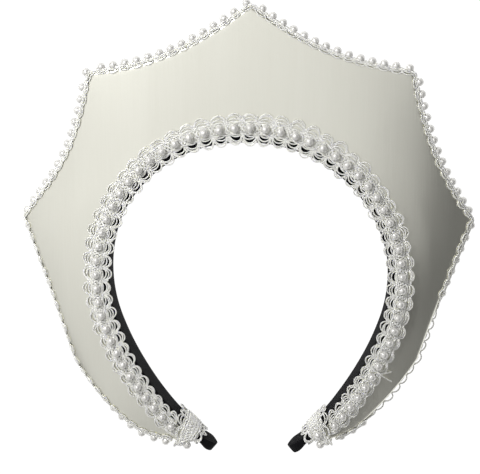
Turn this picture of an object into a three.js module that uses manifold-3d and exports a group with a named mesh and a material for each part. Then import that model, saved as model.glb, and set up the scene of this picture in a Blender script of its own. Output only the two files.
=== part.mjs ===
// A french hood: a stiff crescent covered in ivory satin, standing round a black
// cloth-covered headband, with pearl braid along its inner line and over its rim.
// It lies on its back on the headband's back edge: +Z is the way the plate faces,
// +Y points to the crest and +X to the right as the plate is looked at.
// Lengths are in millimetres.

import * as THREE from "three";
import { mergeVertices } from "three/addons/utils/BufferGeometryUtils.js";
import Module from "manifold-3d";

const wasm = await Module();
wasm.setup();

// Headband, measured at its inner face: an arc for the head, then two arms that
// go on turning in slightly to the tips
const headHalfWidth = 61.7;
const headRise = 63.2;
const headTurn = 110;
const armLength = 72.5;
const armTurn = 30;
const bandThickness = 3;
const bandDepth = 24;
const tipDepth = 11;
const bandEdgeRound = 0.7;
const bandFacets = 35;

// Front plate
const crestReach = 53.5;
const plateFall = 11;
const plateThickness = 3.2;
const flatMargin = 9.4;
const flatMost = 0.35;
const dishDepth = 0.35;
const seatGap = 0.3;

// Pearl braid, the same ware on the inner line, over the rim and round the ends
const pearlRadius = 2;
const pearlSides = 10;
const pearlRows = [
  { up: -0.6, wide: 0.8 },
  { up: 0.25, wide: 0.98 },
];
const braidInward = 7;
const braidOutward = 5.6;
const armNarrowing = 0.2;
const braidsApart = 1;
const braidThickness = 1;
const innerPearlOffset = 5.7;
const innerPitch = 5.85;
const innerPitchSpread = 0.07;
const rimPitch = 5.4;
const rimTape = 0.8;
const rimLap = 2.2;
const pearlLift = -pearlRows[0].up * pearlRadius;

// End wraps
const wrapLength = 15.5;
const wrapFromTip = 8.9;
const wrapWall = 1.2;
const wrapSkew = 0.75;

// Points of the plate's outline, from the crest down to the end: where each stands
// along the headband, how far it reaches from it, how far it falls behind the front
// (shares of half the headband's length, crestReach and plateFall), how hollow the
// line is from it to the next point (a share of their distance, minus for a bulge),
// and how far round the rim, towards the front, the pearls sit there (degrees)
const platePoints = [
  { name: "crest", along: 0, reach: 1, fall: 0.1, hollow: 0.07, pearlTurn: 0 },
  { name: "shoulder", along: 0.211, reach: 0.908, fall: 0.35, hollow: 0.058, pearlTurn: 15 },
  { name: "temple", along: 0.427, reach: 0.643, fall: 1, hollow: 0.015, pearlTurn: -25 },
  { name: "cheek", along: 0.667, reach: 0.338, fall: 0.62, hollow: -0.03, pearlTurn: -35 },
  { name: "jaw", along: 0.845, reach: 0.243, fall: 0.3, hollow: -0.06, pearlTurn: 20 },
  { name: "end", along: 0.936, reach: 0.065, fall: 0.08, hollow: 0, pearlTurn: 25 },
];

// The headband's depth on its way to the tip, as shares: where, how high the front
// edge stands (of bandDepth above tipDepth), how far the back edge has risen off the
// ground (of the room that an end wrap needs below it)
const bandSections = [
  { along: 0, front: 1, rise: 0 },
  { along: 0.4, front: 0.85, rise: 0 },
  { along: 0.75, front: 0.62, rise: 0 },
  { along: 0.86, front: 0.38, rise: 1 },
  { along: 1, front: 0.12, rise: 1 },
];

const degrees = Math.PI / 180;

// Value of a column of a table at a place between two of its rows
function lookup(table, place, column, at) {
  const last = table.length - 1;
  const next = table.findIndex((row, i) => i === last || (i > 0 && row[place] >= at));
  const low = table[next - 1];
  const high = table[next];
  const share = THREE.MathUtils.inverseLerp(low[place], high[place], at);
  return THREE.MathUtils.lerp(low[column], high[column], THREE.MathUtils.clamp(share, 0, 1));
}

// The headband's line on the right side, from the top to the tip
function headbandLine() {
  const top = 90 * degrees;
  const head = new THREE.EllipseCurve(
    0, 0, headHalfWidth, headRise, top, top - headTurn * degrees, true);
  const start = head.getPoint(1);
  const heading = head.getTangent(1);
  const radius = armLength / (armTurn * degrees);
  const centre = new THREE.Vector2(heading.y, -heading.x).multiplyScalar(radius).add(start);
  const from = Math.atan2(start.y - centre.y, start.x - centre.x);
  const arm = new THREE.EllipseCurve(
    centre.x, centre.y, radius, radius, from, from - armTurn * degrees, true);
  const line = new THREE.CurvePath();
  line.add(head);
  line.add(arm);
  return line;
}

const bandLine = headbandLine();
const halfLength = bandLine.getLength();

// Everything is placed by s, the way along the headband's inner face from the top
// (minus on the left), out, the way square to it, and up
function place(s, out, up) {
  const side = s < 0 ? -1 : 1;
  const share = Math.min(Math.abs(s) / halfLength, 1);
  const point = bandLine.getPoint(share);
  const tangent = bandLine.getTangent(share);
  return new THREE.Vector3(side * (point.x - tangent.y * out), point.y + tangent.x * out, up);
}

// Direction square to the headband at s, pointing away from the head
function outwards(s) {
  return place(s, 1, 0).sub(place(s, 0, 0));
}

// The headband's front and back edges
const wrapRoom = seatGap + wrapWall;

function bandFront(s) {
  const share = lookup(bandSections, "along", "front", Math.abs(s) / halfLength);
  return wrapRoom + tipDepth + share * (bandDepth - tipDepth - wrapRoom);
}

function bandBack(s) {
  return wrapRoom * lookup(bandSections, "along", "rise", Math.abs(s) / halfLength);
}

// The plate's outline, measured out from the headband's inner face
const outline = platePoints.map((row) => {
  const s = row.along * halfLength;
  const point = place(s, bandThickness + row.reach * crestReach, 0);
  return { ...row, s, point };
});
const plateEnd = outline.at(-1).s;

function outlineReach(s) {
  const along = Math.min(Math.abs(s), plateEnd);
  const next = outline.findIndex((row, i) => i > 0 && row.s >= along);
  const from = outline[next - 1];
  const chord = outline[next].point.clone().sub(from.point);
  const square = outwards(along);
  const start = place(along, 0, 0);
  const turn = square.x * chord.y - square.y * chord.x;
  const gap = from.point.clone().sub(start);
  const straight = (gap.x * chord.y - gap.y * chord.x) / turn;
  const share = (gap.x * square.y - gap.y * square.x) / turn;
  const depth = from.hollow * chord.length() * 4 * share * (1 - share);
  return straight - depth * chord.length() / Math.abs(turn);
}

// The plate's face: flat under the inner braid, then one smooth dish that falls back
// to the rim, more and more steeply
const plateInside = bandThickness + seatGap;

function flatEnd(s) {
  return plateInside + Math.min(flatMargin, flatMost * (outlineReach(s) - plateInside));
}

function dish(beyond) {
  return beyond * (1 + dishDepth * beyond / crestReach);
}

outline.forEach((row) => {
  row.steepness = plateFall * row.fall / dish(outlineReach(row.s) - flatEnd(row.s));
});

function plateFace(s, out) {
  const steepness = lookup(outline, "s", "steepness", Math.abs(s));
  return bandFront(s) - steepness * dish(Math.max(0, out - flatEnd(s)));
}

// One closed skin through a row of rings with equal numbers of points. Pearls can
// stand on the strip of it that starts at a ring's point number seat, each of them
// within one span, from a ring to the next
function loft(rings, pearls = [], seat = 0) {
  const size = rings[0].length;
  const points = rings.flat();
  const faces = [];
  for (let i = 0; i < rings.length - 1; i += 1) {
    for (let j = 0; j < size; j += 1) {
      const a = i * size + j;
      const b = i * size + ((j + 1) % size);
      const standing = j === seat ? pearls.filter((pearl) => pearl.span === i) : [];
      if (standing.length > 0) {
        faces.push(...pearledFace(points, [a, b, b + size, a + size], standing));
      } else {
        faces.push([a, b, b + size], [a, b + size, a + size]);
      }
    }
  }
  const last = (rings.length - 1) * size;
  faces.push(...flatFaces(rings[0]).map(([a, b, c]) => [a, c, b]));
  faces.push(...flatFaces(rings.at(-1)).map((face) => face.map((corner) => corner + last)));
  return facingOut(points, faces);
}

// A four-cornered face with pearls that grow out of it
function pearledFace(points, corners, pearls) {
  const contour = corners.map((corner) => points[corner]);
  const normal = faceNormal(contour);
  const faces = [];
  const feet = [];
  for (const { middle, axis } of pearls) {
    const turning = axis.clone().multiplyScalar(Math.sign(normal.dot(axis)));
    const side = contour[1].clone().sub(contour[0]).projectOnPlane(axis).normalize();
    const across = turning.cross(side);
    const rows = pearlRows.map(({ up, wide }) => {
      const first = points.length;
      for (let i = 0; i < pearlSides; i += 1) {
        const turn = 2 * Math.PI * i / pearlSides;
        points.push(middle.clone()
          .addScaledVector(side, wide * pearlRadius * Math.cos(turn))
          .addScaledVector(across, wide * pearlRadius * Math.sin(turn))
          .addScaledVector(axis, up * pearlRadius));
      }
      return first;
    });
    const pole = points.push(middle.clone().addScaledVector(axis, pearlRadius)) - 1;
    for (let i = 0; i < pearlSides; i += 1) {
      const next = (i + 1) % pearlSides;
      rows.slice(1).forEach((high, row) => {
        const low = rows[row];
        faces.push([low + i, low + next, high + next], [low + i, high + next, high + i]);
      });
      faces.push([rows.at(-1) + i, rows.at(-1) + next, pole]);
    }
    feet.push(Array.from({ length: pearlSides }, (_, i) => rows[0] + i));
  }
  const numbers = [corners, ...feet].flat();
  const flat = flatFaces(contour, feet.map((foot) => foot.map((corner) => points[corner])));
  return [...faces, ...flat.map((face) => face.map((corner) => numbers[corner]))];
}

function faceNormal(ring) {
  const normal = new THREE.Vector3();
  ring.forEach((point, i) => {
    const from = point.clone().sub(ring[0]);
    const to = ring[(i + 1) % ring.length].clone().sub(ring[0]);
    normal.add(from.cross(to));
  });
  return normal.normalize();
}

// Triangles that fill a ring, with or without holes, turning the same way as the ring
function flatFaces(ring, holes = []) {
  const along = ring[0].clone().sub(ring[Math.floor(ring.length / 2)]).normalize();
  const across = faceNormal(ring).cross(along).normalize();
  const flat = (point) => new THREE.Vector2(point.dot(along), point.dot(across));
  return THREE.ShapeUtils.triangulateShape(ring.map(flat), holes.map((hole) => hole.map(flat)));
}

// Geometry whose faces point out of the body, whichever way its rings ran
function facingOut(points, faces) {
  let volume = 0;
  for (const [a, b, c] of faces) {
    volume += points[a].dot(points[b].clone().cross(points[c]));
  }
  const turned = volume < 0 ? faces.map(([a, b, c]) => [a, c, b]) : faces;
  const geometry = new THREE.BufferGeometry();
  geometry.setFromPoints(points);
  geometry.setIndex(turned.flat());
  return geometry;
}

function solidOf(geometry) {
  const bare = geometry.clone();
  bare.deleteAttribute("normal");
  bare.deleteAttribute("uv");
  const merged = mergeVertices(bare);
  const vertProperties = new Float32Array(merged.attributes.position.array);
  const triVerts = new Uint32Array(merged.index.array);
  return new wasm.Manifold(new wasm.Mesh({ numProp: 3, vertProperties, triVerts }));
}

function geometryOf(solid) {
  const mesh = solid.getMesh();
  const geometry = new THREE.BufferGeometry();
  geometry.setAttribute("position", new THREE.BufferAttribute(mesh.vertProperties, 3));
  geometry.setIndex(new THREE.BufferAttribute(mesh.triVerts, 1));
  return geometry;
}

// Mirrored places, from the left tip's side to the right one's, without a doubled middle
function bothSides(places) {
  const left = places.filter((s) => s > 0).map((s) => -s).reverse();
  return [...left, ...places];
}

// Headband: a flat padded strip on edge, eight-cornered in section, with round tips
function headband() {
  const tipRound = (bandFront(halfLength) - bandBack(halfLength)) / 2;
  const straightEnd = halfLength - tipRound;
  const facet = 2 * straightEnd / bandFacets;
  const places = [];
  for (let i = 0; i <= bandFacets / 2; i += 1) {
    places.push((i + 0.5) * facet);
  }
  for (const turn of [30, 52, 68, 80]) {
    places.push(straightEnd + tipRound * Math.sin(turn * degrees));
  }
  return loft(bothSides(places).map((s) => {
    const past = Math.max(0, Math.abs(s) - straightEnd);
    const shy = tipRound - Math.sqrt(tipRound ** 2 - past ** 2);
    const low = bandBack(s) + shy;
    const high = bandFront(s) - shy;
    const edge = bandEdgeRound;
    return [
      place(s, 0, low + edge),
      place(s, 0, high - edge),
      place(s, edge, high),
      place(s, bandThickness - edge, high),
      place(s, bandThickness, high - edge),
      place(s, bandThickness, low + edge),
      place(s, bandThickness - edge, low),
      place(s, edge, low),
    ];
  }));
}

// Places along the plate's outline: in each span between two of its points, equal
// steps along the rim that hold two pearls each
const pearlsPerStep = 2;

function rimPlaces(count) {
  const places = [0];
  outline.slice(1).forEach((row, i) => {
    const trail = rimTrail(outline[i].s, row.s);
    const length = trail.at(-1).run;
    const steps = Math.max(1, Math.round(length / rimPitch / pearlsPerStep)) * count;
    for (let step = 1; step <= steps; step += 1) {
      places.push(lookup(trail, "run", "s", length * step / steps));
    }
  });
  return places;
}

// How far the rim runs between two places, in steps shorter than its round
function rimTrail(from, to) {
  const steps = Math.ceil(2 * (to - from) / rimRound);
  const trail = [{ s: from, run: 0 }];
  for (let step = 1; step <= steps; step += 1) {
    const s = THREE.MathUtils.lerp(from, to, step / steps);
    const run = trail.at(-1).run + rimMiddle(s).distanceTo(rimMiddle(trail.at(-1).s));
    trail.push({ s, run });
  }
  return trail;
}

// Middle of the rolled rim at s, and the slope of the plate there
const rimRound = plateThickness / 2;

function rimSlope(s) {
  const reach = outlineReach(s);
  const inner = Math.max(flatEnd(s), reach - 2 * plateThickness);
  return Math.atan2(plateFace(s, inner) - plateFace(s, reach), reach - inner);
}

function rimMiddle(s) {
  const out = outlineReach(s) - rimRound;
  return place(s, out, plateFace(s, out) - rimRound / Math.cos(rimSlope(s)));
}

// Corners of a half eight-sided roll of the given radius, as steps out and up
function halfRoll(radius) {
  const corner = radius / Math.cos(22.5 * degrees);
  return [67.5, 22.5, -22.5, -67.5].map((turn) => {
    return [corner * Math.cos(turn * degrees), corner * Math.sin(turn * degrees)];
  });
}

// Front plate: a thin shell from the headband's outer face to the rolled rim
function frontPlate() {
  return loft(bothSides(rimPlaces(1)).map((s) => {
    const reach = outlineReach(s);
    const rim = reach - rimRound;
    const slope = rimSlope(s);
    const middle = plateFace(s, rim) - rimRound / Math.cos(slope);
    const roll = halfRoll(rimRound).map(([out, up]) => {
      const turnedOut = out * Math.cos(slope) + up * Math.sin(slope);
      const turnedUp = up * Math.cos(slope) - out * Math.sin(slope);
      return place(s, rim + turnedOut, middle + turnedUp);
    });
    const bend = (flatEnd(s) + rim) / 2;
    const face = [plateInside, flatEnd(s), bend].map((out) => [out, plateFace(s, out)]);
    const front = face.map(([out, up]) => place(s, out, up));
    const back = face.map(([out, up]) => place(s, out, up - plateThickness));
    return [...front, ...roll, ...back.reverse()];
  }));
}

// Where the end wraps begin and end; the near edge leans outwards to the tip
const wrapFar = halfLength - wrapFromTip;

function wrapNear(out) {
  return wrapFar - wrapLength + wrapSkew * out;
}

// Where the inner braid ends, just short of the end wraps
const braidEnd = wrapNear(innerPearlOffset) - seatGap;

// Inner braid: a tape with a scallop for each pearl, lying on the front edge of the
// headband and on the plate's flat margin
function innerBraid() {
  const units = Math.round(braidEnd / innerPitch - 0.5);
  const pearlPlace = (unit) => {
    const share = unit / (units + 0.5);
    return braidEnd * share * (1 + innerPitchSpread - innerPitchSpread * Math.abs(share));
  };
  const scallop = [[0, 0.68], [0.1, 1], [0.9, 1]];
  const rings = [];
  const pearls = [];
  for (let unit = -units; unit <= units; unit += 1) {
    for (const [step, width] of scallop) {
      rings.push(braidRing(pearlPlace(unit - 0.5 + step), width));
    }
    const s = pearlPlace(unit);
    const middle = place(s, innerPearlOffset, bandFront(s) + seatGap + braidThickness + pearlLift);
    pearls.push({ span: rings.length - 2, middle, axis: new THREE.Vector3(0, 0, 1) });
  }
  rings.push(braidRing(braidEnd, scallop[0][1]));
  return loft(rings, pearls, 1);
}

// The tape's rings lean over, more and more, to end along the end wraps' near edges
function braidRing(s, width) {
  const share = Math.abs(s) / braidEnd;
  const lean = Math.sign(s) * wrapSkew * share ** 8;
  const at = (out, rise) => {
    const leaning = s + lean * (out - innerPearlOffset);
    return place(leaning, out, bandFront(leaning) + rise);
  };
  const low = seatGap;
  const high = seatGap + braidThickness;
  const wide = width * (1 - armNarrowing * share ** 2);
  const inner = innerPearlOffset - wide * braidInward;
  const room = outlineReach(s) - rimRound - rimLap - braidsApart;
  const outer = Math.min(innerPearlOffset + wide * braidOutward, room);
  return [at(inner, low), at(inner, high), at(outer, high), at(outer, low)];
}

// Frame on the rolled rim: its middle, the way out and the way to the front. At a
// corner the way out halves the angle and is lengthened to keep the wall even
function rimFrame(s) {
  const step = rimRound / 4;
  const middle = rimMiddle(s);
  const before = middle.clone().sub(rimMiddle(s - step)).normalize();
  const after = rimMiddle(s + step).sub(middle).normalize();
  const run = before.clone().add(after).normalize();
  const ruling = place(s, outlineReach(s), 0).sub(place(s, outlineReach(s) - 1, 0));
  ruling.z = -Math.tan(rimSlope(s));
  const front = run.clone().cross(ruling).normalize();
  if (front.z < 0) {
    front.negate();
  }
  const out = ruling.clone().projectOnPlane(run).projectOnPlane(front).normalize();
  return { middle, out, front, mitre: 1 / before.dot(run) };
}

// Rim braid: a tape folded over the rim, with its pearls on the strip of it that
// turns with them
function rimBraid() {
  let end = wrapNear(0);
  for (let pass = 0; pass < 20; pass += 1) {
    end = wrapNear(outlineReach(end) - rimLap) - seatGap;
  }
  const low = rimRound + seatGap;
  const high = low + rimTape;
  const inner = halfRoll(low).reverse();
  const short = (s) => s < end - pearlRadius;
  const places = bothSides([...rimPlaces(1).filter(short), end]);
  const rings = places.map((s) => {
    const turn = pearlTurn(s);
    const seat = [1, -1].map((side) => [
      high * Math.cos(turn) - side * pearlRadius * Math.sin(turn),
      high * Math.sin(turn) + side * pearlRadius * Math.cos(turn),
    ]);
    const front = [[-rimLap, low], [-rimLap, high], [rimRound / 2, high]];
    const back = [[rimRound / 2, -high], [-rimLap, -high], [-rimLap, -low]];
    const frame = rimFrame(s);
    return [...front, ...seat, ...back, ...inner].map(([out, up]) => frame.middle.clone()
      .addScaledVector(frame.out, out * (out > 0 ? frame.mitre : 1))
      .addScaledVector(frame.front, up));
  });
  const pearlPlaces = rimPlaces(2 * pearlsPerStep).filter((s, i) => i % 2 === 1 && short(s));
  const pearls = [];
  places.slice(1).forEach((to, span) => {
    for (const size of pearlPlaces) {
      for (const s of [-size, size]) {
        if (s > places[span] && s < to) {
          const frame = rimFrame(s);
          const axis = frame.out.clone().multiplyScalar(Math.cos(pearlTurn(s)))
            .addScaledVector(frame.front, Math.sin(pearlTurn(s)));
          const middle = frame.middle.clone().addScaledVector(axis, high + pearlLift);
          pearls.push({ span, middle, axis });
        }
      }
    }
  });
  return loft(rings, pearls, 3);
}

// How far round the rim, towards the front, the pearls sit at s
function pearlTurn(s) {
  return lookup(outline, "s", "pearlTurn", Math.abs(s)) * degrees;
}

// End wrap: a sleeve of braid round the headband and the plate's end, drawn in
// round the headband alone on the tip's side
function endWrap(side) {
  const closing = [0, 0.45, 1];
  const ring = (share, grow) => {
    const at = (out, up) => {
      const s = THREE.MathUtils.lerp(wrapNear(out), wrapFar, share);
      return place(side * s, out, up(s));
    };
    const middle = THREE.MathUtils.lerp(wrapNear(outlineReach(wrapFar)), wrapFar, share);
    const tight = Math.max(bandThickness, outlineReach(middle) * (share < 1 ? 1 : 0));
    return [
      at(-grow, (s) => bandBack(s) - grow),
      at(-grow, (s) => bandFront(s) + grow),
      at(tight + grow, (s) => bandFront(s) + grow),
      at(tight + grow, (s) => bandFront(s) - plateThickness * 2 - grow),
      at(bandThickness + grow, (s) => bandBack(s) - grow),
    ];
  };
  const sleeve = solidOf(loft(closing.map((share) => ring(share, seatGap + wrapWall))));
  const room = solidOf(loft([-0.2, ...closing.slice(1, -1), 1.2].map((share) => ring(share, seatGap))));
  return geometryOf(sleeve.subtract(room));
}

const blackCloth = new THREE.MeshStandardMaterial({ color: 0x17171a, roughness: 0.95, metalness: 0 });
const ivorySatin = new THREE.MeshStandardMaterial({ color: 0xe2dfd0, roughness: 0.4, metalness: 0 });
const pearlBraid = new THREE.MeshStandardMaterial({ color: 0xe6e4da, roughness: 0.3, metalness: 0 });

const hood = new THREE.Group();

function add(name, geometry, material) {
  const mesh = new THREE.Mesh(geometry, material);
  mesh.name = name;
  hood.add(mesh);
}

add("headband", headband(), blackCloth);
add("front_plate", frontPlate(), ivorySatin);
add("inner_pearl_braid", innerBraid(), pearlBraid);
add("rim_pearl_braid", rimBraid(), pearlBraid);
add("left_end_wrap", endWrap(-1), pearlBraid);
add("right_end_wrap", endWrap(1), pearlBraid);

// The origin is on the ground under the middle of the hood
const box = new THREE.Box3().setFromObject(hood);
const middle = box.getCenter(new THREE.Vector3());
hood.position.set(-middle.x, -middle.y, -box.min.z);

export default hood;
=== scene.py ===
# A french hood: a stiff crescent covered in ivory satin, round a black cloth-covered
# headband, with pearl gimp braid along its inner line, over its rim and round its ends.
# Everything is in metres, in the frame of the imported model: the hood lies on its back,
# +Z is the way its face looks and +Y points to the crest.

import math

import bpy
import numpy as np
from mathutils import Matrix, Vector


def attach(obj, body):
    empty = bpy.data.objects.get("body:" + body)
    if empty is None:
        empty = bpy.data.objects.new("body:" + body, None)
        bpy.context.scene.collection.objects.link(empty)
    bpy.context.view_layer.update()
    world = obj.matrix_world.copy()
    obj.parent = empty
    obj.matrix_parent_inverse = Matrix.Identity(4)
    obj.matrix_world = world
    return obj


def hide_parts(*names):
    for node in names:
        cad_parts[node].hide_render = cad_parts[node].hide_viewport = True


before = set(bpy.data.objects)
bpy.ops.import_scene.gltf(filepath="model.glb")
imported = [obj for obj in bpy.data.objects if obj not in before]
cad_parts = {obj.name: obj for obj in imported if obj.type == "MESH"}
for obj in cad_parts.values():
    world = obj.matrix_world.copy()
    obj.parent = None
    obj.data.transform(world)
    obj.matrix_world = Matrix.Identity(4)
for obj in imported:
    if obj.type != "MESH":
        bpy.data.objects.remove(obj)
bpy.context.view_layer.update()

# Camera, floor and lights: a long lens almost straight above the hood, a white table with
# a low white backdrop round it, one near lamp for the highlights on the pearls, and wide
# soft lamps that leave the plate's right side in the shade
scene = bpy.context.scene
aim = Vector((-0.0047, -0.0026, 0.012))
lens_tilt = math.radians(12)
lens_turn = math.radians(2)
lens_distance = 0.95
to_lens = Vector((
    math.sin(lens_turn) * math.cos(lens_tilt),
    math.sin(lens_tilt),
    math.cos(lens_turn) * math.cos(lens_tilt),
))
to_right = Vector((0, 1, 0)).cross(to_lens).normalized()
view_axes = Matrix((to_right, to_lens.cross(to_right), to_lens)).transposed()
camera = bpy.data.objects.new("camera", bpy.data.cameras.new("camera"))
camera.data.sensor_width = 36
camera.data.lens = 162
camera.location = aim + lens_distance * to_lens
camera.rotation_euler = view_axes.to_euler()
scene.collection.objects.link(camera)
scene.camera = camera
scene.view_settings.view_transform = "Standard"


class Socket:
    """An output of a material's node. Arithmetic on it adds Math nodes to its tree."""

    def __init__(self, tree, socket=None):
        self.tree = tree
        self.socket = socket

    def node(self, kind, settings, inputs, output=0):
        """Adds a node of that kind, its settings first and then its inputs, which are
        numbers, colours or other sockets. Gives back one of its outputs, if it has any."""
        made = self.tree.nodes.new(kind)
        for name, value in settings.items():
            setattr(made, name, value)
        for name, value in inputs.items():
            if isinstance(value, Socket):
                self.tree.links.new(value.socket, made.inputs[name])
            else:
                made.inputs[name].default_value = value
        return Socket(self.tree, made.outputs[output] if made.outputs else None)

    def math(self, operation, *values):
        """Adds a Math node that works on these values."""
        return self.node("ShaderNodeMath", {"operation": operation}, dict(enumerate(values)))

    def blend(self, low, high):
        """The colour between low and high that this socket's value picks. A Mix node has
        its factor at input 0, its colours at 6 and 7, and the mixed one at output 2."""
        return self.node("ShaderNodeMix", {"data_type": "RGBA"}, {0: self, 6: low, 7: high}, 2)

    def __add__(self, other):
        return self.math("ADD", self, other)

    def __sub__(self, other):
        return self.math("SUBTRACT", self, other)

    def __rsub__(self, other):
        return self.math("SUBTRACT", other, self)

    def __mul__(self, other):
        return self.math("MULTIPLY", self, other)

    __radd__ = __add__
    __rmul__ = __mul__


def new_material(name):
    """An empty material, and a socket to add its nodes through."""
    material = bpy.data.materials.new(name)
    material.use_nodes = True
    material.node_tree.nodes.clear()
    return material, Socket(material.node_tree)


def finish_with(start, settings):
    """Ends a material with a Principled shader of these settings."""
    shader = start.node("ShaderNodeBsdfPrincipled", {}, settings)
    start.node("ShaderNodeOutputMaterial", {}, {"Surface": shader})


# The table and its backdrop glow, so that they are white from every side
half_floor = 3
backdrop_height = 0.4
table_top, look = new_material("table_top")
grain = look.node("ShaderNodeTexNoise", {}, {"Scale": 60.0, "Detail": 2.0})
finish_with(look, {
    "Base Color": (0.05, 0.05, 0.05, 1),
    "Roughness": 0.9,
    "Specular IOR Level": 0.0,
    "Emission Color": grain.blend((0.98, 0.98, 0.98, 1), (1, 1, 1, 1)),
    "Emission Strength": 1.03,
})
floor_corners = [
    (x * half_floor, y * half_floor, z)
    for z in (0, backdrop_height) for x, y in ((-1, -1), (1, -1), (1, 1), (-1, 1))]
backdrop_faces = [(i, i + 4, (i + 1) % 4 + 4, (i + 1) % 4) for i in range(4)]
floor_mesh = bpy.data.meshes.new("floor")
floor_mesh.from_pydata(floor_corners, [], [(0, 1, 2, 3), *backdrop_faces])
floor_mesh.materials.append(table_top)
floor = bpy.data.objects.new("floor", floor_mesh)
scene.collection.objects.link(floor)


def add_lamp(name, location, way, size, power):
    """A rectangular softbox at that location that faces against way."""
    lamp = bpy.data.objects.new(name, bpy.data.lights.new(name, "AREA"))
    lamp.data.shape = "RECTANGLE"
    lamp.data.size, lamp.data.size_y = size
    lamp.data.energy = power
    lamp.location = location
    lamp.rotation_euler = Vector(way).to_track_quat("Z", "Y").to_euler()
    scene.collection.objects.link(lamp)


key_place = Vector((-0.23, 0.27, 0.4))
key_size = 0.11
key_power = 1.65
add_lamp("key", key_place, key_place, (key_size, key_size), key_power)

# Lamps overhead: how high each one hangs, its left, right, near and far sides, and its
# radiance. The one that overlaps others hangs lower, as lamps in one plane don't add up
for name, height, left_side, right_side, near_side, far_side, radiance in (
        ("ceiling", 1.6, -2.8, 1.13, -0.3, 0.75, 0.66),
        ("near_ceiling", 1.6, -2.8, 0.4, -1.3, -0.3, 0.66),
        ("bright_left", 1.5, -2.6, 0.32, -0.56, 0.7, 0.13),
        ("near_left", 1.6, -2.8, -0.3, -2.6, -1.3, 0.6),
        ("near_right", 1.6, 0.9, 1.7, -2.0, -1.4, 0.3)):
    wide = right_side - left_side
    deep = far_side - near_side
    middle = ((left_side + right_side) / 2, (near_side + far_side) / 2, height)
    add_lamp(name, middle, (0, 0, 1), (wide, deep), radiance * math.pi * wide * deep)

# Upright lamps on all four sides, for the views from low down: which way each stands, in
# degrees from +X, the heights of its low and high edge, and its radiance
wall_distance = 2.3
wall_width = 3.6
for name, turn, low, high, radiance in (
        ("far_wall", 90, 0.1, 2.2, 0.45),
        ("left_wall", 180, 0.1, 1.5, 0.35),
        ("near_wall", 270, 0.1, 1.5, 0.3),
        ("right_wall", 0, 0.1, 1.0, 0.2)):
    way = Vector((math.cos(math.radians(turn)), math.sin(math.radians(turn)), 0))
    middle = wall_distance * way + Vector((0, 0, (low + high) / 2))
    tall = high - low
    add_lamp(name, middle, way, (wall_width, tall), radiance * math.pi * wall_width * tall)
world = bpy.data.worlds.new("studio")
world.use_nodes = True
world.node_tree.nodes["Background"].inputs["Color"].default_value = (1, 1, 1, 1)
world.node_tree.nodes["Background"].inputs["Strength"].default_value = 0.06
scene.world = world

# Headband: a curved strip of stiff board under black woven cloth, turned under at its
# edges. The hood is built up on it, so all pieces are placed by s, the way along its
# inner face from the top (minus on the left), by the way out from it, and by height
head_half_width = 0.0617
head_rise = 0.0632
head_turn = math.radians(110)
head_points = 1200
arm_length = 0.0725
arm_turn = math.radians(30)
arm_points = 600
middle_forward = 0.01933
band_thickness = 0.003
band_depth = 0.024
tip_depth = 0.011
band_edge_round = 0.0009
seat_gap = 0.0003
wrap_wall = 0.0012
wrap_room = seat_gap + wrap_wall
wrap_from_tip = 0.0089
# Past the wraps the cloth is padded out to this much more than the headband's thickness
tip_padding = 0.5
# The line of the inner face goes on this far past the tips, for what strays past them
line_spare = 0.003
# On the way to the tip, as shares: where, how high the front edge stands (from
# tip_depth to band_depth), how far the back edge has risen into the room for a wrap
band_along = np.array([0, 0.4, 0.75, 0.86, 1])
band_front_share = np.array([1, 0.85, 0.62, 0.38, 0.12])
band_back_share = np.array([0, 0, 0, 1, 1])

turned = np.linspace(0, head_turn, head_points)
head_line = np.stack([head_half_width * np.sin(turned), head_rise * np.cos(turned)], 1)
heading = math.atan2(
    -head_rise * math.sin(head_turn), head_half_width * math.cos(head_turn))
arm_radius = arm_length / arm_turn
arm_middle = head_line[-1] + arm_radius * np.array([math.sin(heading), -math.cos(heading)])
arm_swept = np.linspace(0, arm_turn + line_spare / arm_radius, arm_points)[1:]
arm_way = heading + math.pi / 2 - arm_swept
arm_line = arm_middle + arm_radius * np.stack([np.cos(arm_way), np.sin(arm_way)], 1)
band_line = np.concatenate([head_line, arm_line])
line_steps = np.linalg.norm(np.diff(band_line, axis=0), axis=1)
line_s = np.concatenate([[0], np.cumsum(line_steps)])
half_length = line_s[-1] - line_spare
wrap_far = half_length - wrap_from_tip
line_way = np.gradient(band_line, line_s, axis=0)
line_way /= np.linalg.norm(line_way, axis=1)[:, None]


def even_place(s, out, up):
    """The point at s along the headband's inner face, out square to it, and up."""
    s, out, up = np.broadcast_arrays(np.asarray(s, float), out, up)
    along = np.abs(s)
    x, y = (np.interp(along, line_s, band_line[:, i]) for i in (0, 1))
    way_x, way_y = (np.interp(along, line_s, line_way[:, i]) for i in (0, 1))
    side = np.where(s < 0, -1, 1)
    return np.stack([side * (x - way_y * out), y + way_x * out - middle_forward, up], -1)


def eased(share):
    """A share from 0 to 1, made to leave 0 and reach 1 gently."""
    return share * share * (3 - 2 * share)


def smooth_between(at, places, values):
    """Values read off a smooth curve through the given ones, level at the first."""
    slopes = np.gradient(values, places)
    slopes[0] = 0
    span = np.clip(np.searchsorted(places, at) - 1, 0, len(places) - 2)
    width = places[span + 1] - places[span]
    share = np.clip((at - places[span]) / width, 0, 1)
    leaving = share * (1 - share) ** 2 * width * slopes[span]
    coming = share * share * (share - 1) * width * slopes[span + 1]
    risen = eased(share) * (values[span + 1] - values[span])
    return values[span] + risen + leaving + coming


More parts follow.
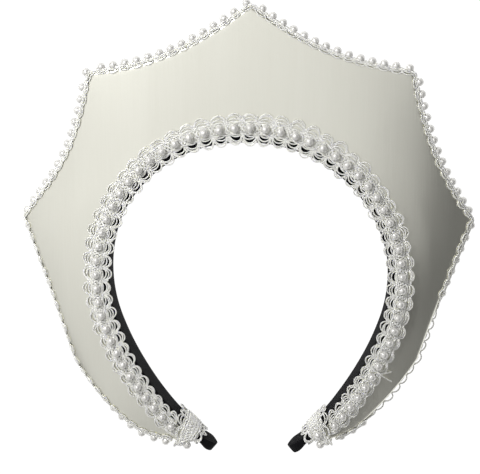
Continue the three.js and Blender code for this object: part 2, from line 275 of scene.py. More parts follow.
# How far the hood strays from the even shape: columns are the share of the headband's
# length from the top, and in millimetres how far the headband and the plate's rim lie
# further out, and how much further round everything lies
uneven = np.array([
    (-1.0, -2.0, -1.0, 0.8),
    (-0.94, -2.0, -1.0, 2.4),
    (-0.84, -1.3, 2.0, 1.8),
    (-0.67, -0.4, 3.6, 0.2),
    (-0.55, -0.1, 3.8, 0.0),
    (-0.43, 0.2, 3.6, 0.0),
    (-0.32, 0.2, 0.3, 0.0),
    (-0.21, -0.3, -0.5, 0.0),
    (0.0, -2.5, 0.0, 0.0),
    (0.13, -2.6, 0.2, 0.0),
    (0.25, -2.2, 0.4, 0.0),
    (0.43, -1.4, 0.8, 0.0),
    (0.67, -0.4, -0.3, 0.0),
    (0.84, -0.6, -1.5, 0.0),
    (0.94, -0.5, -1.5, 0.0),
])
# How far out the headband's stray starts to pass into the rim's, and has done so
rim_begins = 0.008
rim_ends = 0.018


def place(s, out, up):
    """The same point on the hood as it really is, a little uneven."""
    s, out, up = np.broadcast_arrays(np.asarray(s, float), out, up)
    at_band, at_rim, further = (
        smooth_between(s / half_length, uneven[:, 0], uneven[:, i]) / 1000 for i in (1, 2, 3))
    share = np.clip((out - rim_begins) / (rim_ends - rim_begins), 0, 1)
    stray = at_band + eased(share) * (at_rim - at_band)
    return even_place(s + np.sign(s) * further, out + stray, up)


def band_front(s):
    """How high the headband's front edge stands at s."""
    share = smooth_between(np.abs(s) / half_length, band_along, band_front_share)
    return wrap_room + tip_depth + share * (band_depth - tip_depth - wrap_room)


def band_back(s):
    """How high the headband's back edge lies at s."""
    return wrap_room * np.interp(np.abs(s) / half_length, band_along, band_back_share)


def unit(vectors):
    """The vectors, made one long. One of no length stays as it is."""
    return vectors / np.maximum(np.linalg.norm(vectors, axis=-1, keepdims=True), 1e-12)


def add_piece(name, points, faces, marks, material, node, finish):
    """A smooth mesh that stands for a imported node, with marks as its texture places."""
    mesh = bpy.data.meshes.new(name)
    mesh.from_pydata(points.tolist(), [], faces)
    mesh.shade_smooth()
    layer = mesh.uv_layers.new(name="along_and_across")
    corners = np.zeros(len(mesh.loops), dtype=np.int32)
    mesh.loops.foreach_get("vertex_index", corners)
    layer.data.foreach_set("uv", np.ascontiguousarray(marks[corners], dtype=np.float32).ravel())
    mesh.materials.append(material)
    piece = bpy.data.objects.new(name, mesh)
    scene.collection.objects.link(piece)
    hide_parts(node)
    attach(piece, "root")
    return piece


def skin(rings):
    """Points, faces and marks of a closed skin through a row of rings, ends closed."""
    count, size = rings.shape[:2]
    a = (np.arange(count - 1)[:, None] * size + np.arange(size)).ravel()
    b = (np.arange(count - 1)[:, None] * size + (np.arange(size) + 1) % size).ravel()
    faces = np.stack([a, b, b + size, a + size], 1).tolist()
    faces.append(list(range(size))[::-1])
    faces.append([(count - 1) * size + j for j in range(size)])
    round_steps = np.linalg.norm(np.diff(rings, axis=1, append=rings[:, :1]), axis=2)
    across = np.concatenate([np.zeros((count, 1)), np.cumsum(round_steps, 1)[:, :-1]], 1)
    run = np.linalg.norm(np.diff(rings.mean(1), axis=0, prepend=rings.mean(1)[:1]), axis=1)
    along = np.repeat(np.cumsum(run)[:, None], size, 1)
    return rings.reshape(-1, 3), faces, np.stack([along, across], -1).reshape(-1, 2)


black_cloth, look = new_material("black_cloth")
cloth_thread = 0.0007
marks = look.node("ShaderNodeUVMap", {"uv_map": "along_and_across"}, {})
along, across = (
    marks.node("ShaderNodeSeparateXYZ", {}, {"Vector": marks}, axis) * (2 * math.pi / cloth_thread)
    for axis in (0, 1))
# The weave is the threads' relief and also painted light: the colour is darker in the dips between
# the threads, a painted shade, and lighter on their crowns, a painted sheen. The lint is real fluff
# on the cloth
weave_relief_and_shade = along.math("SINE", along) * across.math("SINE", across)
lint = look.node("ShaderNodeTexNoise", {}, {"Scale": 900.0, "Detail": 3.0})
finish_with(look, {
    "Base Color": (lint * 0.7 + weave_relief_and_shade * 0.25).blend(
        (0.003, 0.003, 0.0035, 1), (0.014, 0.014, 0.016, 1)),
    "Roughness": 0.9,
    "Specular IOR Level": 0.1,
    "Normal": look.node("ShaderNodeBump", {}, {
        "Strength": 0.5, "Distance": 0.0002, "Height": weave_relief_and_shade * 0.6 + lint}),
})

# The sections of the strip: along a straight side, round a half-round tip (in degrees
# from its start), and how many points round off each of a section's four corners
side_sections = 180
tip_sections = 16
tip_first = 6
tip_last = 82
corner_points = 5

tip_round = float(band_front(half_length) - band_back(half_length)) / 2
straight_end = half_length - tip_round
side_places = np.linspace(0, straight_end, side_sections)
round_tip = np.radians(np.linspace(tip_first, tip_last, tip_sections))
right_places = np.concatenate([side_places, straight_end + tip_round * np.sin(round_tip)])
band_places = np.concatenate([-right_places[:0:-1], right_places])
past_straight = np.maximum(0, np.abs(band_places) - straight_end)
shy = tip_round - np.sqrt(tip_round ** 2 - past_straight ** 2)
corner_turn = np.radians(np.linspace(0, 90, corner_points))
edge = band_edge_round
ring_out = np.concatenate([
    edge - edge * np.cos(corner_turn), band_thickness - edge + edge * np.sin(corner_turn),
    band_thickness - edge + edge * np.cos(corner_turn), edge - edge * np.sin(corner_turn)])
ring_up = np.concatenate([
    edge * np.sin(corner_turn) - edge, edge * np.cos(corner_turn) - edge,
    edge - edge * np.sin(corner_turn), edge - edge * np.cos(corner_turn)])
from_front = np.arange(4 * corner_points) < 2 * corner_points
low = (band_back(band_places) + shy)[:, None]
high = (band_front(band_places) - shy)[:, None]
past_wraps = np.clip((np.abs(band_places) - wrap_far) / tip_round, 0, 1)
padding = (1 + tip_padding * eased(past_wraps))[:, None]
padded_out = padding * (ring_out - band_thickness / 2) + band_thickness / 2
rings = place(band_places[:, None], padded_out, np.where(from_front, high, low) + ring_up)
add_piece("headband_cover", *skin(rings), black_cloth, "headband", "black_cloth")

# Front plate: stiff board under ivory satin, drawn smooth over a padded edge and glued
# down behind. Its outline swings from point to point; its face is flat round the
# headband and falls back towards the rim, most of all at the temples
crest_reach = 0.0535
plate_fall = 0.011
plate_thickness = 0.0032
dish_depth = 1.0
rim_round = plate_thickness / 2
plate_inside = band_thickness + seat_gap
span_sections = 60
face_points = 24
roll_points = 11
roll_end = 80
# The crest, shoulder, temple, cheek, jaw and end of the outline: where each stands along
# the headband, how far out, how far it falls back, and how hollow the line is from it
# to the next (minus for a bulge), as shares of half the headband's length, crest_reach,
# plate_fall and the distance between the two
point_along = np.array([0, 0.211, 0.427, 0.667, 0.845, 0.936])
point_reach = np.array([1, 0.908, 0.643, 0.338, 0.243, 0.065])
point_fall = np.array([0.1, 0.35, 1, 0.62, 0.3, 0.08])
point_hollow = np.array([0.07, 0.058, 0.015, -0.03, -0.06, 0])
point_s = point_along * half_length
plate_end = point_s[-1]
points_out = even_place(point_s, band_thickness + point_reach * crest_reach, 0)


def outline_reach(s):
    """How far the plate's outline stands out from the headband's inner face at s."""
    along = np.minimum(np.abs(s), plate_end)
    span = np.clip(np.searchsorted(point_s, along) - 1, 0, len(point_s) - 2)
    start = points_out[span][..., :2]
    chord = points_out[span + 1][..., :2] - start
    foot = even_place(along, 0, 0)[..., :2]
    square = even_place(along, 1, 0)[..., :2] - foot
    gap = start - foot
    turn = square[..., 0] * chord[..., 1] - square[..., 1] * chord[..., 0]
    straight = (gap[..., 0] * chord[..., 1] - gap[..., 1] * chord[..., 0]) / turn
    share = (gap[..., 0] * square[..., 1] - gap[..., 1] * square[..., 0]) / turn
    length = np.linalg.norm(chord, axis=-1)
    depth = point_hollow[span] * length * 4 * share * (1 - share)
    return straight - depth * length / np.abs(turn)


def dish(beyond):
    """How the face's fall grows with the distance beyond the plate's inner line."""
    return beyond * (1 + dish_depth * beyond / crest_reach)


point_steepness = plate_fall * point_fall / dish(outline_reach(point_s) - plate_inside)


def plate_face(s, out):
    """Height of the plate's face, and of the headband's edge within it."""
    steepness = smooth_between(np.abs(s), point_s, point_steepness)
    return band_front(s) - steepness * dish(np.maximum(0, out - plate_inside))


def rim_slope(s):
    """How steeply the face falls where it meets the rim, as an angle."""
    reach = outline_reach(s)
    inner = np.maximum(plate_inside, reach - 2 * plate_thickness)
    return np.arctan2(plate_face(s, inner) - plate_face(s, reach), reach - inner)


def rim_middle(s):
    """Middle of the plate's rolled rim: how far out and how high."""
    out = outline_reach(s) - rim_round
    return out, plate_face(s, out) - rim_round / np.cos(rim_slope(s))


# The texture runs with the object's own axes: long threads up and down the crescent
ivory_satin, look = new_material("ivory_satin")
where = look.node("ShaderNodeTexCoord", {}, {}, "Object")
fine = where.node("ShaderNodeMapping", {}, {"Vector": where, "Scale": (1400.0, 60.0, 300.0)})
threads = where.node("ShaderNodeTexNoise", {}, {"Vector": fine, "Scale": 1.0, "Detail": 3.0})
broad = where.node("ShaderNodeMapping", {}, {"Vector": where, "Scale": (160.0, 9.0, 60.0)})
slubs = where.node("ShaderNodeTexNoise", {}, {"Vector": broad, "Scale": 1.0, "Detail": 2.0})
finish_with(look, {
    "Base Color": (threads * 0.5 + slubs * 0.5).blend((0.8, 0.79, 0.7, 1), (0.86, 0.855, 0.77, 1)),
    "Metallic": 0.88,
    "Roughness": slubs * 0.04 + 0.28,
    "Normal": look.node("ShaderNodeBump", {}, {
        "Strength": 0.3, "Distance": 0.0001, "Height": threads + slubs * 0.4}),
})

span_places = [np.linspace(low, high, span_sections, endpoint=False)
               for low, high in zip(point_s[:-1], point_s[1:])]
right_places = np.concatenate([*span_places, [plate_end]])
plate_places = np.concatenate([-right_places[:0:-1], right_places])[:, None]
rim_out, rim_up = rim_middle(plate_places)
slope = rim_slope(plate_places)
front_out = plate_inside + np.linspace(0, 1, face_points) * (rim_out - plate_inside)
front_up = plate_face(plate_places, front_out)
roll_turn = np.radians(np.linspace(roll_end, -roll_end, roll_points))
roll_fore = np.cos(roll_turn) * np.cos(slope) + np.sin(roll_turn) * np.sin(slope)
roll_rise = np.sin(roll_turn) * np.cos(slope) - np.cos(roll_turn) * np.sin(slope)
front = place(plate_places, front_out, front_up)
roll = place(plate_places, rim_out + rim_round * roll_fore, rim_up + rim_round * roll_rise)
back = place(plate_places, front_out, front_up - plate_thickness)[:, ::-1]
rings = np.concatenate([front, roll, back], axis=1)
add_piece("satin_plate", *skin(rings), ivory_satin, "front_plate", "ivory_satin")

# Inner braid: gimp braid sewn on over the joint of plate and headband. Pairs of
# twisted rayon cord swing out in loops on both sides of a plaited ground, with a
# small picot between loops, and a pearl is sewn on in the middle of each
pearl_radius = 0.00178
cord_radius = 0.00033
braid_inward = 0.007
braid_outward = 0.0056
braids_apart = 0.001
braid_thickness = 0.001
inner_pearl_offset = 0.0057
inner_pitch = 0.00585
inner_pitch_spread = 0.07
rim_lap = 0.0022
pearl_lift = braid_thickness + 0.0013
sewn_gap = 0.0001
wrap_length = 0.0155
wrap_skew = 0.75
# The braid narrows down the arms. At the top its inner loops are longer and all of it
# lies further out, which fades away on the arms, the faster the higher the fade
arm_narrowing = 0.2
top_longer = 0.16
top_longer_fade = 3
top_further = 0.0011
top_further_fade = 2.5
# Close to the wraps the loops lean as the wraps do, the higher the power the closer
lean_power = 8
# Halfway down the right arm the outer loops stand up off the plate: how many times as
# high, where and over which share of the arm, and from how far out in the braid
raised_most = 2.5
raised_at = 0.5
raised_spread = 0.2
raised_beyond = 0.0032


def wrap_near(out):
    """Where along the headband an end wrap begins, at this way out from it."""
    return wrap_far - wrap_length + wrap_skew * out


braid_end = wrap_near(inner_pearl_offset) - seat_gap
inner_units = round(braid_end / inner_pitch - 0.5)


def inner_place(turns, across, lift):
    """Point on the inner braid: turns counts its loops, across is from the pearls."""
    share = turns / (inner_units + 0.5)
    s = braid_end * share * (1 + inner_pitch_spread - inner_pitch_spread * np.abs(share))
    near_end = np.minimum(np.abs(s) / braid_end, 1)
    longer = np.where(across < 0, top_longer * np.maximum(0, 1 - top_longer_fade * near_end), 0)
    across = across * (1 + longer - arm_narrowing * near_end ** 2)
    leaning = s + np.sign(s) * wrap_skew * near_end ** lean_power * across
    room = outline_reach(s) - rim_round - rim_lap - braids_apart
    further = np.maximum(0, 1 - top_further_fade * near_end) * top_further
    out = np.minimum(inner_pearl_offset + further + across, room)
    on_arm = np.exp(-((s / half_length - raised_at) / raised_spread) ** 2)
    raised = 1 + raised_most * on_arm * (across > raised_beyond)
    return place(leaning, out, plate_face(leaning, out) + sewn_gap + raised * lift)


def cords(paths, ups, radius, sides=6):
    """Points, faces and marks of round cords along paths, each with the same number of
    points; ups are the ways up along them."""
    count, length = paths.shape[:2]
    way = unit(np.gradient(paths, axis=1))
    up = unit(ups - (ups * way).sum(-1, keepdims=True) * way)
    side = np.cross(way, up)
    turn = np.linspace(0, 2 * math.pi, sides, endpoint=False)
    rings = paths[:, :, None] + radius * (
        up[:, :, None] * np.cos(turn)[:, None] + side[:, :, None] * np.sin(turn)[:, None])
    first = np.arange(count)[:, None, None] * length * sides
    row = np.arange(length - 1)[:, None] * sides
    a = first + row + np.arange(sides)
    b = first + row + (np.arange(sides) + 1) % sides
    faces = np.stack([a, a + sides, b + sides, b], -1).reshape(-1, 4).tolist()
    for start in range(0, count * length * sides, length * sides):
        faces.append([start + j for j in range(sides)])
        faces.append([start + (length - 1) * sides + j for j in range(sides)][::-1])
    run = np.cumsum(np.linalg.norm(np.diff(paths, axis=1, prepend=paths[:, :1]), axis=2), 1)
    along = np.broadcast_to(run[..., None], (count, length, sides))
    round_share = np.broadcast_to(turn / (2 * math.pi), along.shape)
    return rings.reshape(-1, 3), faces, np.stack([along, round_share], -1).reshape(-1, 2)


def balls(middles, ups, radius, around=20, down=12):
    """Points, faces and marks of pearls with their poles on the ups."""
    turn = np.linspace(0, 2 * math.pi, around, endpoint=False)[:, None]
    tilt = np.linspace(0, math.pi, down + 1)[1:-1, None, None]
    up = unit(ups)[:, None]
    slanting = np.array([0.31, 0.87, 0.38])
    side = unit(np.cross(up, slanting))
    fore = np.cross(up, side)
    level = side * np.cos(turn) + fore * np.sin(turn)
    shell = up[:, None] * np.cos(tilt) + np.sin(tilt) * level[:, None]
    size = (down - 1) * around + 2
    points = np.concatenate([up, shell.reshape(len(middles), -1, 3), -up], 1)
    points = middles[:, None] + radius * points
    top, bottom = 0, size - 1
    row = 1 + np.arange(down - 2)[:, None] * around
    low = row + np.arange(around)
    low_next = row + (np.arange(around) + 1) % around
    bands = np.stack([low, low + around, low_next + around, low_next], -1).reshape(-1, 4).tolist()
    caps = [[top, 1 + j, 1 + (j + 1) % around] for j in range(around)]
    last = 1 + (down - 2) * around
    caps += [[bottom, last + (j + 1) % around, last + j] for j in range(around)]
    faces = [[start + corner for corner in face]
             for start in range(0, len(middles) * size, size) for face in bands + caps]
    return points.reshape(-1, 3), faces, np.zeros((len(middles) * size, 2))


def joined(parts):
    """One set of points, faces and marks out of several."""
    points, faces, marks, start = [], [], [], 0
    for part_points, part_faces, part_marks in parts:
        points.append(part_points)
        faces += [[corner + start for corner in face] for face in part_faces]
        marks.append(part_marks)
        start += len(part_points)
    return np.concatenate(points), faces, np.concatenate(marks)


# A loop's points, how far it sways along the braid (in loops), how long and how high it
# comes out, as shares of what it should be, and how square it is (1 is a plain arch)
loop_points = 11
loop_sway = 0.08
loop_long = (0.9, 1.05)
loop_high = (0.3, 1.0)
loop_power = 0.8
up_step = 0.0002


def laid(where, turns, across, lift):
    """Paths laid on a braid by its place function, and the ways up along them."""
    paths = where(turns, across, lift)
    return paths, unit(where(turns, across, lift + up_step) - paths)


def loops(where, turns, tip, root, half, stand, seed):
    """Paths and ways up of one cord's loops: they rise from root to tip across the
    braid and stand up a little there, a bit unevenly, as hand-sewn braid does."""
    draws = np.random.default_rng(seed)
    turn = np.linspace(0, math.pi, loop_points)
    sway = draws.uniform(-loop_sway, loop_sway, len(turns))[:, None]
    long = draws.uniform(*loop_long, len(turns))[:, None]
    high = draws.uniform(*loop_high, len(turns))[:, None]
    along = turns[:, None] + half * np.cos(turn) + sway * np.sin(turn)
    across = root + (tip * long - root) * np.sin(turn) ** loop_power
    lift = cord_radius + stand * high * np.sin(turn) ** 2
    return laid(where, along, across, lift)


# The make of the braid: where a loop's root is (a share of the braid's width, less for
# short loops), half how wide the loop is, in loops (least, and how it grows with the
# loop's length), and the picots between loops. The draws are what is added to the
# seed for the picots, and for the other side
loop_root = 0.36
loop_root_growth = 1.6
loop_half = 0.2
loop_half_growth = 0.27
picot_tip = 0.78
picot_root = 0.45
picot_half = 0.07
picot_cord = 0.85
picot_draws = 9
side_draws = 20
# The ground: how far it goes on past the last loops, its points in each loop's length,
# its plaited strands (their room, swing, height and crossing) and the waved cord along
# each of its edges. Heights and thicknesses are in cord_radius
ground_past = 0.45
ground_points = 10
strand_room = 0.001
strand_swing = 0.78
strand_lift = 1.7
strand_cross = 0.9
strand_cord = 1.35
edge_wave = 0.0002
edge_swings = 9
edge_lift = 2.2
edge_cord = 1.2


def braid_cords(where, turns, widths, ground, tips, stand, seed):
    """All the cords of a length of braid: loops to both sides, one for each of the tips
    as a share of that side's width, picots between them, and a plaited ground."""
    parts = []
    between = turns[:-1] + 0.5
    for side, wide in zip((1, -1), widths):
        for number, tip in enumerate(tips):
            root = loop_root * min(1, loop_root_growth * tip) * wide
            paths, ups = loops(
                where, turns, side * wide * tip, side * root, loop_half + loop_half_growth * tip,
                stand * tip, seed + number)
            parts.append(cords(paths, ups, cord_radius))
        paths, ups = loops(
            where, between, side * wide * picot_tip, side * wide * picot_root, picot_half,
            stand, seed + picot_draws)
        parts.append(cords(paths, ups, picot_cord * cord_radius))
        seed += side_draws
    fine = np.linspace(
        turns[0] - ground_past, turns[-1] + ground_past, len(turns) * ground_points)
    strands = 2 * round(ground / strand_room)
    for strand in range(strands):
        swing = 2 * math.pi * (fine + strand / strands)
        lift = cord_radius * (strand_lift + strand_cross * np.cos(2 * swing + strand * math.pi))
        path, up = laid(where, fine, strand_swing * ground * np.sin(swing), lift)
        parts.append(cords(path[None], up[None], strand_cord * cord_radius))
    for side in (-1, 1):
        across = side * ground + edge_wave * np.sin(edge_swings * fine)
        path, up = laid(where, fine, across, edge_lift * cord_radius + 0 * fine)
        parts.append(cords(path[None], up[None], edge_cord * cord_radius))
    return joined(parts)


def in_middle(where, turns, lift):
    """Points in the middle of a braid at these turns, lifted off it."""
    return where(turns, 0 * turns, lift + 0 * turns)


rayon_cord, look = new_material("rayon_cord")
twist_length = 0.0011
marks = look.node("ShaderNodeUVMap", {"uv_map": "along_and_across"}, {})
along, round_share = (
    marks.node("ShaderNodeSeparateXYZ", {}, {"Vector": marks}, axis) for axis in (0, 1))
ply = along * (2 * math.pi / twist_length) + round_share * (4 * math.pi)
# The twist is the plies' relief and also painted light: the colour is darker in the grooves between
# the plies, a painted shade, and lighter on their crowns
twist_relief_and_shade = ply.math("SINE", ply) * 0.5 + 0.5
finish_with(look, {
    "Base Color": twist_relief_and_shade.blend((0.82, 0.815, 0.77, 1), (0.93, 0.925, 0.89, 1)),
    "Roughness": 0.38,
    "Sheen Weight": 0.3,
    "Subsurface Weight": 0.15,
    "Subsurface Radius": (0.001, 0.001, 0.0008),
    "Normal": look.node("ShaderNodeBump", {}, {
        "Strength": 0.6, "Distance": 0.00015, "Height": twist_relief_and_shade}),
})

pearl_shell, look = new_material("pearl_shell")
cloudy = look.node("ShaderNodeTexNoise", {}, {"Scale": 700.0, "Detail": 2.0})
finish_with(look, {
    "Base Color": cloudy.blend((0.72, 0.71, 0.68, 1), (0.8, 0.79, 0.76, 1)),
    "Metallic": 0.4,
    "Roughness": cloudy * 0.08 + 0.3,
    "Coat Weight": 1.0,
    "Coat Roughness": 0.12,
})

inner_ground = 0.0024
inner_tips = (1.0, 0.885, 0.7, 0.5)
inner_stand = 0.0004
inner_seed = 5
inner_turns = np.arange(-inner_units, inner_units + 1.0)
add_piece(
    "inner_braid_cords",
    *braid_cords(
        inner_place, inner_turns, (braid_outward, braid_inward), inner_ground, inner_tips,
        inner_stand, inner_seed),
    rayon_cord, "inner_pearl_braid", "pearl_braid")
seats = in_middle(inner_place, inner_turns, pearl_lift)
ups = np.broadcast_to([0.0, 0.0, 1.0], seats.shape)
add_piece(
    "inner_braid_pearls", *balls(seats, ups, pearl_radius),
    pearl_shell, "inner_pearl_braid", "pearl_braid")

# A sewing thread's two loose ends stick out of the inner braid low on the right: places
# are the share of the headband's half length and the way out from it
thread_radius = 0.0003
thread_points = 12
thread_from = (0.723, 0.0066)
thread_ends = ((0.71, 0.0128), (0.73, 0.0153))
thread_curl = 1.4
thread_rise = 0.0016
thread_arch = 0.0008
way_along = np.linspace(0, 1, thread_points)
thread_paths = []
for end_along, end_out in thread_ends:
    s = half_length * (thread_from[0] + (end_along - thread_from[0]) * way_along ** thread_curl)
    out = thread_from[1] + (end_out - thread_from[1]) * way_along
    arch = thread_arch * np.sin(math.pi * way_along)
    lift = thread_rise * (1 - way_along) + 2 * thread_radius + arch
    thread_paths.append(place(s, out, plate_face(s, out) + lift))
thread_paths = np.stack(thread_paths)
ups = np.broadcast_to([0.0, 0.0, 1.0], thread_paths.shape)
add_piece(
    "thread_ends", *cords(thread_paths, ups, thread_radius),
    rayon_cord, "inner_pearl_braid", "pearl_braid")

# Rim braid: the same braid folded over the plate's padded edge and sewn through, so
# that its pearls stand on the edge and its loops lie on the face and on the back
rim_pitch = 0.00535
rim_tape = 0.0008
rim_pearl_radius = 0.0018
rim_pearl_lift = 0.0015
rim_forward = 0.005
rim_backward = 0.0055
rim_ground = 0.0018
rim_tips = (1.0, 0.62)
rim_stand = 0.0002
rim_seed = 105
rim_past = 0.6
rim_points = 1601
out_step = 0.001
# How far along the rim the plate's points are softened for the way the braid runs
rim_soft = 0.0022
# How the braid lies round the edge, from the left end to the right: columns are the
# share of the headband's length from the top, how many degrees the pearls are turned
# to the front, how wide the front loops lie in millimetres, and how far they stick out
# flat from the plate's back instead of folding over its edge
rim_lay = np.array([
    (-0.94, 40, 2.8, 0),
    (-0.86, 15, 2.8, 0),
    (-0.76, -35, 4.2, 0),
    (-0.45, -38, 4.4, 0),
    (-0.38, -5, 3.1, 0),
    (-0.21, 8, 2.9, 0),
    (0, 0, 3.0, 0),
    (0.21, 8, 2.9, 0),
    (0.38, -5, 3.6, 0),
    (0.45, -25, 4.5, 0),
    (0.54, -30, 4.5, 0),
    (0.59, -85, 5.0, 1),
    (0.79, -85, 5.0, 1),
    (0.84, -30, 4.0, 0),
    (0.94, -15, 3.4, 0),
])
# The braid ends at the slanting wrap, so where it ends depends on how far out it is
# there: each trial comes closer
rim_end_trials = 20
rim_end = wrap_near(0)
for trial in range(rim_end_trials):
    rim_end = float(wrap_near(outline_reach(rim_end) - rim_lap)) - seat_gap
rim_s = np.linspace(-rim_end, rim_end, rim_points)
out, up = rim_middle(rim_s)
rim_line = place(rim_s, out, up)
rim_steps = np.linalg.norm(np.diff(rim_line, axis=0), axis=1)
rim_run = np.concatenate([[0], np.cumsum(rim_steps)]) - rim_steps.sum() / 2
ruling = unit(place(rim_s, out + out_step, up) - rim_line)
ruling = ruling - np.tan(rim_slope(rim_s))[:, None] * np.array([0, 0, 1])
softly = np.exp(-0.5 * ((rim_run[:, None] - rim_run) / rim_soft) ** 2)
softly /= softly.sum(1, keepdims=True)
rim_way = unit(softly @ unit(np.gradient(rim_line, axis=0)))
rim_front = unit(np.cross(rim_way, ruling))
rim_front *= np.sign(rim_front[:, 2:3])
rim_outward = unit(ruling - (ruling * rim_way).sum(1, keepdims=True) * rim_way)
rim_turned, rim_wide, rim_flat = (
    np.interp(rim_s / half_length, rim_lay[:, 0], rim_lay[:, i]) for i in (1, 2, 3))
rim_units = round((rim_run[-1] - rim_run[0]) / rim_pitch) // 2 - 0.5


def rim_place(turns, across, lift):
    """Point on the rim braid, folded round the edge: across is from the pearls, plus
    towards the front."""
    run = turns / (rim_units + rim_past) * rim_run[-1]
    line, outward, front = (
        np.stack([np.interp(run, rim_run, part[:, i]) for i in range(3)], -1)
        for part in (rim_line, rim_outward, rim_front))
    turned, front_share, flat = (
        np.interp(run, rim_run, part)
        for part in (np.radians(rim_turned), rim_wide / 1000 / rim_forward, rim_flat))
    across = np.where(across > 0, front_share * across, across)
    radius = rim_round + sewn_gap + lift
    bend = rim_round + sewn_gap + rim_tape / 2
    turn = np.clip(turned + across / bend, -math.pi / 2, math.pi / 2)
    beyond = np.abs(turned + across / bend - turn) * bend
    folded_out = radius * np.cos(turn) - beyond
    folded_front = radius * np.sin(turn)
    laid_out = folded_out + flat * (across - folded_out)
    laid_front = folded_front + flat * (-radius - folded_front)
    return line + outward * laid_out[..., None] + front * laid_front[..., None]


rim_turns = np.arange(-rim_units, rim_units + 1.0)
add_piece(
    "rim_braid_cords",
    *braid_cords(
        rim_place, rim_turns, (rim_forward, rim_backward), rim_ground, rim_tips, rim_stand,
        rim_seed),
    rayon_cord, "rim_pearl_braid", "pearl_braid")
seats = in_middle(rim_place, rim_turns, rim_pearl_lift)
ups = seats - in_middle(rim_place, rim_turns, 0)
add_piece(
    "rim_braid_pearls", *balls(seats, ups, rim_pearl_radius),
    pearl_shell, "rim_pearl_braid", "pearl_braid")

# End wraps: a short length of the same braid, over a thin sleeve of tape, wound round
# the headband and the plate's end, with its scalloped edges showing at both sides; it
# hides the raw ends
wrap_units = 8
wrap_width = 0.008
wrap_ground = 0.0038
wrap_tips = (1.0, 0.86, 0.6)
wrap_stand = 0.0004
wrap_pearl_lift = 0.0018
wrap_seed = 300
wrap_grow = seat_gap + 0.0004
wrap_samples = 160
wrap_soft = 0.001
least_weight = 1e-4
wrap_lowest = 1.5 * cord_radius
# The wound surface goes on past the wrap's two edges by this share of its length.
# Points are found between a row and the next, so up to just before the last row
wrap_past = 0.1
wrap_rows = 37
wrap_shares = np.linspace(-wrap_past, 1 + wrap_past, wrap_rows)
last_row = wrap_rows - 1.001
# Towards the tip the wrap draws in from the plate's outline to the headband: over the
# last share of its length, and read off the outline this much more slowly
wrap_closing = 0.55
wrap_slowing = 0.6
sleeve_half = 0.28
sleeve_row = 14
sleeve_rings = 96
sleeve_top = 0.0002
sleeve_under = -0.0003


def wrap_surface(side):
    """The end wrap's rounded surface and its outward ways, by share of its length and
    by turn round the headband from its inner back corner."""
    middle = wrap_far - wrap_length * (1 - wrap_shares) * wrap_slowing
    closing = np.clip((1 - wrap_shares) / wrap_closing, 0, 1)
    tight = np.maximum(band_thickness, outline_reach(middle) * closing)
    corners = []
    for out, front, below in (
            (0, False, 0), (0, True, 0), (tight, True, 0), (tight, True, 2 * plate_thickness),
            (band_thickness, False, 0)):
        stands = np.where(np.asarray(out) > 0, wrap_grow, -wrap_grow) + out
        s = wrap_near(stands) + wrap_shares * (wrap_far - wrap_near(stands))
        if front:
            up = band_front(s) + wrap_grow - below * (1 + wrap_grow / plate_thickness)
        else:
            up = band_back(s) - wrap_grow
        corners.append(place(side * s, stands, up))
    corners = np.stack(corners + corners[:1], 1)
    grid = []
    for row in corners:
        run = np.concatenate([[0], np.cumsum(np.linalg.norm(np.diff(row, axis=0), axis=1))])
        at = np.linspace(0, run[-1], wrap_samples, endpoint=False)
        ring = np.stack([np.interp(at, run, row[:, i]) for i in range(3)], 1)
        apart = np.minimum(at, run[-1] - at)
        weights = np.exp(-0.5 * (apart / wrap_soft) ** 2)
        weights /= weights.sum()
        grid.append(sum(weight * np.roll(ring, k, axis=0)
                        for k, weight in enumerate(weights) if weight > least_weight))
    grid = np.array(grid)
    round_way = np.roll(grid, -1, axis=1) - np.roll(grid, 1, axis=1)
    ways = unit(np.cross(round_way, np.gradient(grid, axis=0)))
    from_middle = grid - grid.mean(1, keepdims=True)
    return grid, ways * np.sign((ways * from_middle).sum(-1).mean())


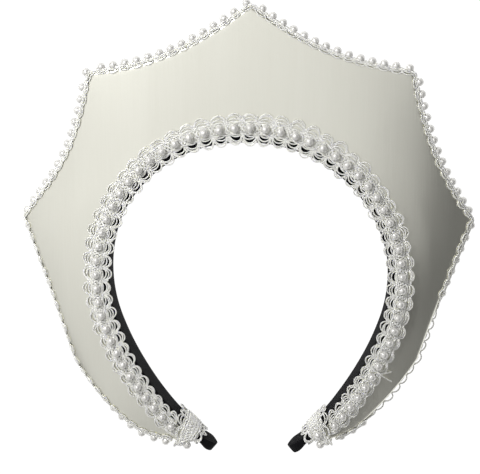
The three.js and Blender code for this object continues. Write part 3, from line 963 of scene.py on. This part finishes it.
def place_on(surface, surface_ways):
    """Makes the place function of a braid that is wound on this surface."""

    def wrap_place(turns, across, lift):
        """Point on the wound braid: turns round the headband, across from its middle."""
        turns, across, lift = np.broadcast_arrays(turns, across, lift)
        column = (turns / wrap_units % 1) * wrap_samples
        row = (0.5 + across / wrap_length - wrap_shares[0]) / (wrap_shares[1] - wrap_shares[0])
        row = np.clip(row, 0, last_row)
        low_row = row.astype(int)
        low_column = column.astype(int) % wrap_samples
        next_column = (low_column + 1) % wrap_samples
        part_row, part_column = (row % 1)[..., None], (column % 1)[..., None]
        found = []
        for values in (surface, surface_ways):
            low, high = (
                values[line, low_column] * (1 - part_column) + values[line, next_column] * part_column
                for line in (low_row, low_row + 1))
            found.append(low * (1 - part_row) + high * part_row)
        points = found[0] + unit(found[1]) * lift[..., None]
        points[..., 2] = np.maximum(points[..., 2], wrap_lowest)
        return points

    return wrap_place


wrap_turns = np.arange(0.5, wrap_units)
sleeve_turns = np.linspace(0, wrap_units, sleeve_rings, endpoint=False)[:, None]
sleeve_across = wrap_length * np.concatenate([
    np.linspace(-sleeve_half, sleeve_half, sleeve_row),
    np.linspace(sleeve_half, -sleeve_half, sleeve_row)])
sleeve_lift = np.repeat([sleeve_top, sleeve_under], sleeve_row)
sleeve_size = 2 * sleeve_row
sleeve_starts = np.arange(sleeve_rings)[:, None] * sleeve_size
a = (sleeve_starts + np.arange(sleeve_size)).ravel()
b = (sleeve_starts + (np.arange(sleeve_size) + 1) % sleeve_size).ravel()
sleeve_faces = np.stack([a, b, b + sleeve_size, a + sleeve_size], 1) % (sleeve_rings * sleeve_size)
sleeve_marks = np.stack(np.broadcast_arrays(sleeve_across, sleeve_turns / wrap_units), -1)
for side, name, pearls_at in (
        (-1, "left_end_wrap", np.array([4.5])),
        (1, "right_end_wrap", np.array([3.5, 4.5]))):
    wrap_place = place_on(*wrap_surface(side))
    wound = braid_cords(
        wrap_place, wrap_turns, (wrap_width, wrap_width), wrap_ground, wrap_tips, wrap_stand,
        wrap_seed + side)
    sleeve = wrap_place(sleeve_turns, sleeve_across, sleeve_lift).reshape(-1, 3)
    add_piece(
        name + "_cords",
        *joined([wound, (sleeve, sleeve_faces.tolist(), sleeve_marks.reshape(-1, 2))]),
        rayon_cord, name, "pearl_braid")
    seats = in_middle(wrap_place, pearls_at, wrap_pearl_lift)
    ups = seats - in_middle(wrap_place, pearls_at, 0)
    add_piece(
        name + "_pearls", *balls(seats, ups, rim_pearl_radius),
        pearl_shell, name, "pearl_braid")
